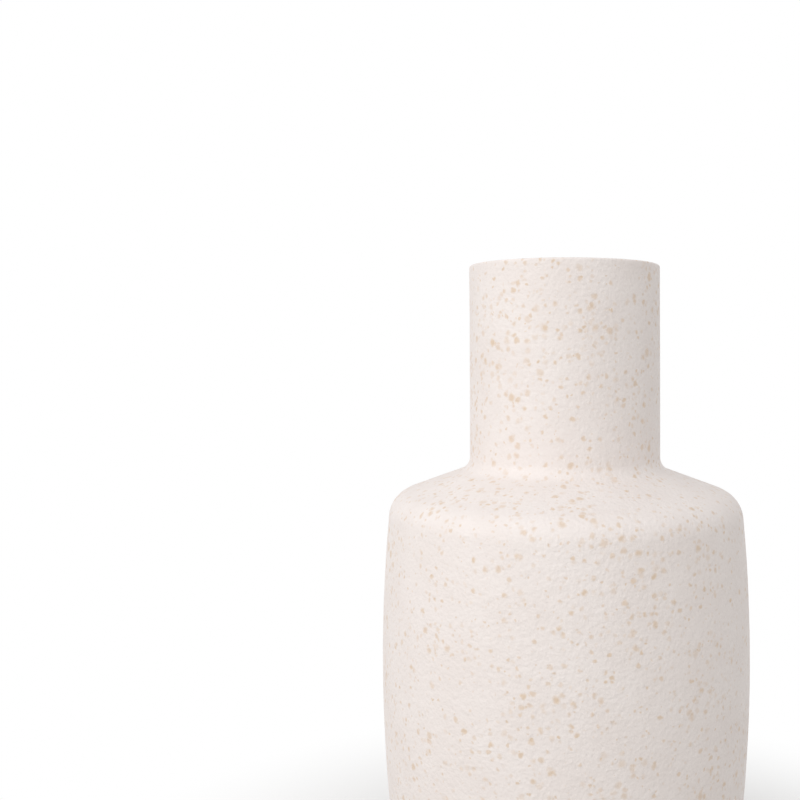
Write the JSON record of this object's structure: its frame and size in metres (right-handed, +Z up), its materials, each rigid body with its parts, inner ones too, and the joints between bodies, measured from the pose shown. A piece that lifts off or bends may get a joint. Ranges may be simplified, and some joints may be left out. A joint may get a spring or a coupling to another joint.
{
  "type": "bottle vase",
  "caption": "Matt speckled stoneware bottle vase with a barrel-shaped body, a sloping shoulder and a wide straight cylindrical neck.",
  "frame": {"origin": "the vase's axis at the plane it stands on", "axes": "+Z up along the axis of the turned form, from the foot to the lip; +X and +Y are any two level directions, because the vase is turned"},
  "size_m": [0.16, 0.16, 0.29],
  "materials": {
    "stoneware": "bare fired stoneware, buff, matt",
    "slip": "fired joining slip, matt",
    "liner_glaze": "soft gloss liner glaze, off-white",
    "matt_glaze": "matt eggshell glaze, warm pinkish off-white with small tan iron speckles"
  },
  "bodies": {
    "root": {"foot_base": "stoneware", "body_wall": "stoneware", "shoulder_ring": "stoneware", "neck_collar": "stoneware", "base_slip_seam": "slip", "wall_slip_seam": "slip", "neck_slip_seam": "slip", "liner_glaze": "liner_glaze", "outer_glaze": "matt_glaze"}
  },
  "joints": []
}
